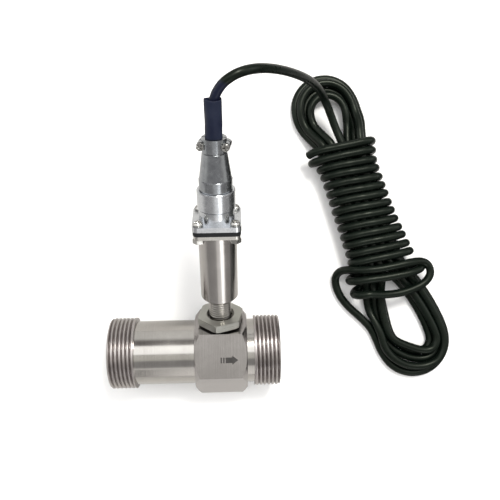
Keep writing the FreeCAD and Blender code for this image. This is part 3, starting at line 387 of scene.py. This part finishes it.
def turned(name, colour, darker, rough, axis, line_scale, line_depth):
    """Metal finished on a lathe: fine lines round the axis, faint stains and small dents."""
    look = Look(name, colour, 1.0, rough)
    lines = look.lines(axis, line_scale)
    stains = look.noise(60, 5, 0.65)
    tone = look.math("ADD", look.math("MULTIPLY", lines, 0.45), look.math("MULTIPLY", stains, 0.55))
    look.colour(tone, darker, colour)
    gloss = look.math("ADD", look.math("MULTIPLY", lines, 0.5), look.math("MULTIPLY", stains, 0.5))
    look.rough(gloss, rough - 0.07, rough + 0.09)
    look.bump(lines, line_depth)
    look.bump(look.noise(900, 3, 0.5), 0.004)
    return look


def plain(name, colour, other, rough, metallic=0.0, grain=700, depth=0.01, patches=90):
    """Moulded or cast surface: faint patches of tone and a fine grain."""
    look = Look(name, colour, metallic, rough)
    look.colour(look.noise(patches, 5, 0.6), other, colour)
    look.rough(look.noise(patches * 2.3, 4, 0.6), rough - 0.06, rough + 0.08)
    look.bump(look.noise(grain, 4, 0.6), depth)
    return look


# The hexagon and the two ports are duller than the tube between them, and painted darker: painted shade on
# the hexagon for the dimmer light its flats reflect, and on the ports for the shade in the thread's grooves
body_look = turned("steel_turned", (0.46, 0.445, 0.42), (0.36, 0.345, 0.325), 0.15, PIPE, 2600, 0.006)
on_hexagon = body_look.between(PIPE, 0.0502, 0.0808)
on_ports = body_look.math("SUBTRACT", 1.0, body_look.between(PIPE, 0.0151, 0.0849))
# Painted shade: the hexagon's steel is darkened for the dimmer light its flats reflect
body_look.overlay(on_hexagon, (0.82, 0.81, 0.84), "MULTIPLY")
# Painted shade: the ports' steel is darkened and tinted for the shade in the thread's grooves
body_look.overlay(on_ports, (0.93, 0.90, 0.93), "MULTIPLY")
body_look.rougher(body_look.math("MULTIPLY", on_hexagon, 0.04))
body_look.rougher(body_look.math("MULTIPLY", on_ports, 0.15))
housing_look = turned("steel_housing", (0.44, 0.423, 0.407), (0.34, 0.325, 0.311), 0.19, STEM, 2400, 0.004)
nut_look = turned("steel_nut", (0.38, 0.38, 0.35), (0.29, 0.29, 0.265), 0.3, STEM, 2600, 0.006)
chrome_look = plain("chrome_satin", (0.56, 0.575, 0.595), (0.47, 0.485, 0.505), 0.22, 1.0, 800, 0.010, 260)
# Painted shade: the backshell and cable clamp take the ring's chrome made darker, standing in for the darker
# surroundings that they reflect
shaded_shell_look = plain("chrome_shell_painted_shade", (0.32, 0.335, 0.35), (0.25, 0.262, 0.277), 0.21, 1.0, 800, 0.009, 220)
flange_look = turned("nickel_flange", (0.56, 0.55, 0.52), (0.43, 0.42, 0.40), 0.25, STEM, 900, 0.005)
inner_look = turned("steel_inner", (0.55, 0.54, 0.52), (0.45, 0.44, 0.42), 0.33, PIPE, 1500, 0.006)
rotor_look = plain("steel_rotor", (0.50, 0.50, 0.49), (0.42, 0.42, 0.41), 0.3, 1.0, 800, 0.006)
spring_look = plain("steel_spring", (0.33, 0.32, 0.30), (0.25, 0.24, 0.23), 0.36, 1.0)
screw_look = plain("steel_screw", (0.42, 0.415, 0.395), (0.31, 0.305, 0.29), 0.27, 1.0, 900, 0.006, 200)
carbide_look = plain("carbide", (0.20, 0.20, 0.21), (0.15, 0.15, 0.16), 0.35, 1.0)
brass_look = plain("brass_contact", (0.78, 0.62, 0.30), (0.66, 0.51, 0.23), 0.25, 1.0)
copper_look = plain("copper_wire", (0.72, 0.36, 0.20), (0.55, 0.25, 0.13), 0.33, 1.0)
iron_look = plain("soft_iron", (0.34, 0.34, 0.34), (0.26, 0.26, 0.26), 0.42, 1.0)
board_look = plain("board_green", (0.03, 0.16, 0.07), (0.02, 0.11, 0.05), 0.4)
plastic_look = plain("plastic_black", (0.02, 0.02, 0.021), (0.028, 0.028, 0.03), 0.42)
wire_look = plain("wire_red", (0.42, 0.03, 0.025), (0.34, 0.025, 0.02), 0.42)
rubber_look = plain("rubber_black", (0.007, 0.0075, 0.009), (0.013, 0.0135, 0.015), 0.5, 0.0, 1100, 0.02)
rubber_look.shader.inputs["Specular IOR Level"].default_value = 0.2
sleeve_look = plain("sleeve_navy", (0.0055, 0.0085, 0.024), (0.010, 0.014, 0.031), 0.47, 0.0, 500, 0.03, 160)
sleeve_look.shader.inputs["Specular IOR Level"].default_value = 0.2
cable_look = plain("cable_black", (0.0018, 0.0036, 0.0024), (0.0034, 0.0058, 0.0042), 0.3, 0.0,
                   900, 0.02, 120)
cable_look.shader.inputs["Specular IOR Level"].default_value = 0.16
cable_look.shader.inputs["Specular Tint"].default_value = (0.93, 1.0, 0.86, 1)
# The first centimetre of cable out of the sleeve is as blue as the sleeve
from_sleeve = cable_look.measure("DISTANCE", (0.0656, 0.131, 0.0755))
cable_look.overlay(cable_look.spread(from_sleeve, 1.0, 0.0, 0.0115, 0.0135), (0.007, 0.0085, 0.022))
mark_look = plain("laser_mark", (0.022, 0.02, 0.019), (0.04, 0.037, 0.035), 0.55, 0.2, 1500, 0.006, 400)

SLOT_LOOKS = {
    "body_steel": body_look, "housing_steel": housing_look, "inner_steel": inner_look,
    "rotor_steel": rotor_look, "spring_steel": spring_look, "screw_steel": screw_look,
    "connector_chrome": chrome_look, "contact_brass": brass_look, "copper": copper_look,
    "soft_iron": iron_look, "carbide": carbide_look, "board_green": board_look,
    "black_plastic": plastic_look, "black_rubber": rubber_look, "navy_sleeve": sleeve_look,
    "wire_red": wire_look, "cable_black": cable_look,
}
NODE_LOOKS = {
    "jam_nut": nut_look, "housing_flange": flange_look, "flange_nuts": screw_look,
    "backshell": shaded_shell_look, "cable_clamp": shaded_shell_look,
}
for name, node in nodes.items():
    for slot in node.material_slots:
        look = NODE_LOOKS.get(name) or SLOT_LOOKS[slot.material.name.split(".")[0]]
        slot.material = look.material
line.materials.append(cable_look.material)

# ---------------------------------------------------------------- pieces
# All in millimetres, and those on the stem with it upright
PORT_RADIUS, PORT_LENGTH, PORT_CHAMFER, BODY_LENGTH = 20.955, 15.0, 0.8, 100.0
THREAD_PITCH, THREAD_DEPTH, THREAD_RUNOUT = 2.309, 1.3, 0.9
# Share of the pitch that the groove takes, and how far its flanks bulge
GROOVE_SHARE, FLANK_BULGE = 0.74, 0.45
CHAMFER_SLOPE = 0.9
# How far the CAD faces that a thread replaces may stand off its cylinder, and off its end
SLACK, END_SLACK = 0.05, 0.01


def laid(x, y, z):
    """Point given with the stem upright, in metres where it lies."""
    return Vector((x, 0.5 * y + STEM[1] * z, -STEM[1] * y + 0.5 * z)) * MM


def from_stem(place):
    """Distance along the stem's axis and away from it."""
    place = place / MM - Vector((STEM_X, 0, 0))
    along = place.dot(Vector(STEM))
    return along, (place - along * Vector(STEM)).length


def piece(name, mesh, look, slot, *replaced, angle=30):
    mesh.name = name
    mesh.materials.clear()
    mesh.materials.append(look.material)
    mesh.polygons.foreach_set("use_smooth", [True] * len(mesh.polygons))
    mesh.set_sharp_from_angle(angle=math.radians(angle))
    obj = linked(name, mesh)
    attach(obj, "meter")
    if replaced:
        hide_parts(*replaced)


def closed(bm, mesh):
    """Writes a bmesh to a mesh and frees it."""
    bm.to_mesh(mesh)
    bm.free()
    return mesh


def opened(node_name, is_plain):
    """Copy of a node's mesh, and a bmesh of it without the faces that a test picks."""
    mesh = nodes[node_name].data.copy()
    bm = bmesh.new()
    bm.from_mesh(mesh)
    bmesh.ops.delete(bm, geom=[face for face in bm.faces if is_plain(face)], context="FACES")
    return mesh, bm


def skin(bm, rings, corners=((0, 0), (0, 1), (1, 1), (1, 0))):
    """Joins rings of points by quads. A corner says which of two rings, and how far on round it."""
    rows = [[bm.verts.new(place) for place in ring] for ring in rings]
    for pair in zip(rows, rows[1:]):
        around = len(pair[0])
        for j in range(around):
            bm.faces.new([pair[row][(j + step) % around] for row, step in corners])


def thread_radius(x, angle, start, outwards):
    """Radius of a port at a distance x from its face, with a rounded helical groove."""
    if x <= 0.0:
        return PORT_RADIUS - PORT_CHAMFER
    if x >= PORT_LENGTH:
        return PORT_RADIUS
    phase = ((start + outwards * x) / THREAD_PITCH - angle / (2 * math.pi)) % 1.0
    slope = min(abs(2 * phase - 1) / GROOVE_SHARE, 1.0)
    crest = slope * (1 + FLANK_BULGE - FLANK_BULGE * slope)
    runout = min(1.0, (PORT_LENGTH - x) / THREAD_RUNOUT)
    radius = PORT_RADIUS - THREAD_DEPTH * (1 - crest) * runout
    return min(radius, PORT_RADIUS - PORT_CHAMFER + CHAMFER_SLOPE * x)


def add_thread(bm, start, outwards):
    """Threaded surface of a port whose face is at start, with the meter on its outwards side."""
    steps, around = 150, 160
    rings = []
    for i in range(steps + 1):
        x = PORT_LENGTH * i / steps
        ring = []
        for j in range(around):
            angle = 2 * math.pi * j / around
            radius = thread_radius(x, angle, start, outwards) * MM
            ring.append(((start + outwards * x) * MM, radius * math.cos(angle), radius * math.sin(angle)))
        rings.append(ring)
    corners = ((0, 0), (1, 0), (1, 1), (0, 1))
    skin(bm, rings, corners if outwards < 0 else corners[::-1])


def threaded_body():
    """The meter's body with its two ports cut as pipe threads."""
    lowest = PORT_RADIUS - PORT_CHAMFER - SLACK

    def is_plain(face):
        x = face.calc_center_median().x / MM
        outside = min(math.hypot(v.co.y, v.co.z) for v in face.verts) / MM > lowest
        in_port = x < PORT_LENGTH + END_SLACK or x > BODY_LENGTH - PORT_LENGTH - END_SLACK
        flat_end = abs(face.normal.x) >= 0.9
        return outside and in_port and not flat_end

    mesh, bm = opened("meter_body", is_plain)
    add_thread(bm, 0.0, 1)
    add_thread(bm, BODY_LENGTH, -1)
    piece("threaded_body", closed(bm, mesh), body_look, "body_steel", "meter_body")


def threaded_housing():
    """Pickup housing with the fine thread on its neck, between the lock nut and the bevel."""
    radius, low, high, pitch, depth = 6.5, 24.8, 39.5, 1.5, 0.2
    low_runout, high_runout = 0.6, 0.9
    steps, around = 120, 72

    def is_plain(face):
        places = [from_stem(v.co) for v in face.verts]
        return all(abs(away - radius) < SLACK and low - SLACK < along < high + SLACK
                   for along, away in places)

    rings = []
    for i in range(steps + 1):
        z = low + (high - low) * i / steps
        ring = []
        for j in range(around):
            a = 2 * math.pi * j / around
            crest = 0.5 - 0.5 * math.cos(2 * math.pi * (z / pitch - j / around))
            runout = min(1.0, (z - low) / low_runout, (high - z) / high_runout)
            r = radius - depth * (1 - crest) * runout
            ring.append(laid(STEM_X + r * math.cos(a), r * math.sin(a), z))
        rings.append(ring)
    mesh, bm = opened("pickup_housing", is_plain)
    skin(bm, rings)
    piece("threaded_housing", closed(bm, mesh), housing_look, "housing_steel", "pickup_housing")


def flow_arrow():
    """Plain arrow marked on the top flat, towards the outlet, with two bars behind it."""
    top, thickness, tip, middle = 22.03, 0.06, 75.4, -2.2
    head, half_head, shaft_end, half_shaft = 3.4, 2.6, 7.2, 1.6
    bars = ((7.8, 8.6), (9.3, 10.1))
    outlines = [[(tip, 0), (tip - head, half_head), (tip - head, half_shaft), (tip - shaft_end, half_shaft),
                 (tip - shaft_end, -half_shaft), (tip - head, -half_shaft), (tip - head, -half_head)]]
    for near, far in bars:
        outlines.append([(tip - near, half_shaft), (tip - far, half_shaft),
                         (tip - far, -half_shaft), (tip - near, -half_shaft)])
    bm = bmesh.new()
    for outline in outlines:
        low = [bm.verts.new((x * MM, (middle + y) * MM, (top - thickness) * MM)) for x, y in outline]
        high = [bm.verts.new((x * MM, (middle + y) * MM, top * MM)) for x, y in outline]
        bm.faces.new(high)
        for i in range(len(low)):
            j = (i + 1) % len(low)
            bm.faces.new((low[i], low[j], high[j], high[i]))
    bmesh.ops.recalc_face_normals(bm, faces=bm.faces)
    piece("flow_arrow", closed(bm, bpy.data.meshes.new("flow_arrow")), mark_look, "body_steel")


def add_box(bm, centre, sides, half_sizes):
    corners = []
    for ways in itertools.product((-1, 1), repeat=3):
        offset = sum((side * way * half for side, way, half in zip(sides, ways, half_sizes)), Vector())
        corners.append(bm.verts.new(centre + offset * MM))
    for face in ((0, 1, 3, 2), (4, 6, 7, 5), (0, 4, 5, 1), (2, 3, 7, 6), (0, 2, 6, 4), (1, 5, 7, 3)):
        bm.faces.new([corners[n] for n in face])


def cross_headed(node_name, heads, width, depth, length):
    """Screws of a node with a cross cut into each head. A head is its middle, its axis and its turn."""
    bm = bmesh.new()
    for centre, axis, spin in heads:
        axis = axis.normalized()
        first = Matrix.Rotation(math.radians(spin), 3, axis) @ axis.orthogonal().normalized()
        second = axis.cross(first)
        for one, two in ((first, second), (second, first)):
            add_box(bm, centre, (one, two, axis), (length / 2, width / 2, depth))
    bmesh.ops.recalc_face_normals(bm, faces=bm.faces)
    cutter = linked("cutter", closed(bm, bpy.data.meshes.new("cutter")))
    work = linked("work", nodes[node_name].data.copy())
    cut = work.modifiers.new("cut", "BOOLEAN")
    cut.operation, cut.solver, cut.object, cut.use_self = "DIFFERENCE", "EXACT", cutter, True
    mesh = bpy.data.meshes.new_from_object(work.evaluated_get(bpy.context.evaluated_depsgraph_get()))
    bpy.data.objects.remove(work)
    bpy.data.objects.remove(cutter)
    piece(node_name + "_cut", mesh, screw_look, "screw_steel", node_name)


def flange_heads():
    """Heads of the connector's four screws, each turned its own way."""
    offset, head_top = 9.7, 92.5
    return [(laid(STEM_X + i * offset, j * offset, head_top), Vector(STEM), 31 * i + 17 * j + 20)
            for i in (-1, 1) for j in (-1, 1)]


def saddle_heads():
    """Heads of the saddle's two screws, on a front that is turned a little about the stem."""
    ear_offset, head_front, height = 6.4, -5.2, 131.05
    c, s = math.cos(math.radians(-8.0)), math.sin(math.radians(-8.0))
    facing = laid(s, -c, 0) / MM
    heads = []
    for side in (-1, 1):
        x, y = side * ear_offset, head_front
        heads.append((laid(STEM_X + c * x - s * y, s * x + c * y, height), facing, 20 + 25 * side))
    return heads


def shrunk_sleeve():
    """Heat-shrunk sleeve: slightly uneven beyond the saddle, with a rolled, uneven rim."""
    bottom, top, radius, mouth, inner = 122.3, 153.9, 4.4, 4.1, 2.55
    wall_start, wall_length, wall_rows = 126, 26.4, 22
    saddle_top, rim_height, around = 134, 1, 48
    rows = [(bottom, inner), (bottom, radius), (bottom + 3, radius)]
    rows += [(wall_start + wall_length * i / wall_rows, radius) for i in range(wall_rows + 1)]
    rows += [(top - 0.5, radius), (top - 0.05, radius - 0.08), (top, radius - 0.2),
             (top - 0.2, mouth), (top - 6, inner)]
    rings = []
    for z, r in rows:
        ring = []
        for j in range(around):
            a = 2 * math.pi * j / around
            uneven = 0.07 * math.sin(3 * a + z * 0.31) + 0.05 * math.sin(5 * a - z * 0.53 + 1.2)
            rim = 0.22 * math.sin(2 * a + 0.6) + 0.1 * math.sin(5 * a) if z > top - rim_height else 0.0
            uneven_r = r + (uneven if r > inner + 1 and z > saddle_top else 0.0)
            ring.append(laid(STEM_X + uneven_r * math.cos(a), uneven_r * math.sin(a), z + rim))
        rings.append(ring)
    bm = bmesh.new()
    skin(bm, rings)
    mesh = closed(bm, bpy.data.meshes.new("shrunk_sleeve"))
    piece("shrunk_sleeve", mesh, sleeve_look, "navy_sleeve", "cable_sleeve", angle=60)


threaded_body()
threaded_housing()
flow_arrow()
cross_headed("flange_screws", flange_heads(), 0.75, 0.95, 3.6)
cross_headed("clamp_screws", saddle_heads(), 0.65, 0.9, 2.9)
shrunk_sleeve()

# ---------------------------------------------------------------- floor and light
FLOOR_Z = -0.0222
FLOOR_REACH = 6
FLOOR_WHITE = (0.93, 0.93, 0.93)
WHITE = (1, 1, 1)

corners = [(i * FLOOR_REACH, j * FLOOR_REACH, FLOOR_Z) for i, j in ((-1, -1), (1, -1), (1, 1), (-1, 1))]
floor_mesh = bpy.data.meshes.new("floor")
floor_mesh.from_pydata(corners, [], [(0, 1, 2, 3)])
floor = linked("floor", floor_mesh)
floor_look = Look("floor_white", FLOOR_WHITE, 0.0, 0.9)
floor_mesh.materials.append(floor_look.material)
# Only reflections see it greyer, and dark to the right of the meter
from_meter = floor_look.measure("DISTANCE", (0.05, -0.06, FLOOR_Z))
grey = floor_look.blend(from_meter, (0.60, 0.59, 0.575), (0.57, 0.56, 0.55), 0.09, 0.16)
reflected = floor_look.mix(floor_look.between(PIPE, 0.185, 1.0), grey, (0.04, 0.04, 0.04))
is_glossy = floor_look.add("ShaderNodeLightPath").outputs["Is Glossy Ray"]
floor_look.link(floor_look.mix(is_glossy, FLOOR_WHITE, reflected), floor_look.shader.inputs["Base Color"])

world = bpy.data.worlds.new("studio")
bpy.context.scene.world = world
world.use_nodes = True
sky = Nodes(world.node_tree)
shade = sky.tree.nodes["Background"]
split = sky.add("ShaderNodeSeparateXYZ")
sky.link(sky.add("ShaderNodeTexCoord").outputs["Generated"], split.inputs[0])
x, y, z = split.outputs
# Bands from the front (0) to the back (1), which run along the pipe
bands = sky.ramp(y, [
    (0.0, (1.35, 1.32, 1.29)), (0.10, (1.15, 1.13, 1.11)), (0.135, (0.44, 0.43, 0.43)),
    (0.29, (0.42, 0.41, 0.41)), (0.33, (0.90, 0.885, 0.84)), (0.47, (0.98, 0.965, 0.92)),
    (0.495, (0.7, 0.68, 0.66)), (0.515, (2.2, 2.2, 2.2)), (0.74, (2.2, 2.2, 2.2)),
    (0.775, (0.26, 0.245, 0.245)), (0.87, (0.28, 0.265, 0.265)), (0.93, (1.1, 1.09, 1.07)),
    (1.0, (1.05, 1.04, 1.01)),
])
# Stripes from the left (0) to the right (1): a tall bright card, and greyer surroundings
stripes = sky.ramp(x, [
    (0.0, (0.38, 0.37, 0.365)), (0.42, (0.52, 0.505, 0.495)), (0.50, (0.64, 0.625, 0.61)),
    (0.54, (1.45, 1.45, 1.45)), (0.68, (1.45, 1.45, 1.45)), (0.74, (0.60, 0.58, 0.56)),
    (1.0, (0.30, 0.29, 0.29)),
])
# The stripes are for the stem, which reflects what is in front, not high and to one side.
# The pipe reflects only what is square to its axis, so it keeps the bands.
in_front = sky.math("LESS_THAN", y, -0.45)
to_a_side = sky.math("GREATER_THAN", sky.math("ABSOLUTE", x), 0.12)
not_high = sky.math("LESS_THAN", z, 0.55)
by_stem = sky.math("MULTIPLY", sky.math("MULTIPLY", in_front, to_a_side), not_high)
studio = sky.mix(by_stem, bands, stripes)
is_camera = sky.add("ShaderNodeLightPath").outputs["Is Camera Ray"]
sky.link(sky.mix(is_camera, studio, WHITE), shade.inputs["Color"])
shade.inputs["Strength"].default_value = 1.0


def lamp(name, place, target, size, power, tint=WHITE):
    data = bpy.data.lights.new(name, "AREA")
    data.shape = "RECTANGLE"
    data.size, data.size_y = size
    data.energy = power
    data.color = tint
    obj = linked(name, data)
    obj.location = place
    obj.rotation_euler = (Vector(target) - Vector(place)).to_track_quat("-Z", "Y").to_euler()


lamp("front", (0.43, -0.74, 0.49), (0.07, 0.07, 0.03), (0.30, 0.30), 0.7)
lamp("window", (0.32, 0.60, 0.95), (0.15, 0.09, 0.0), (0.28, 0.28), 9.0, (1.0, 0.98, 0.92))
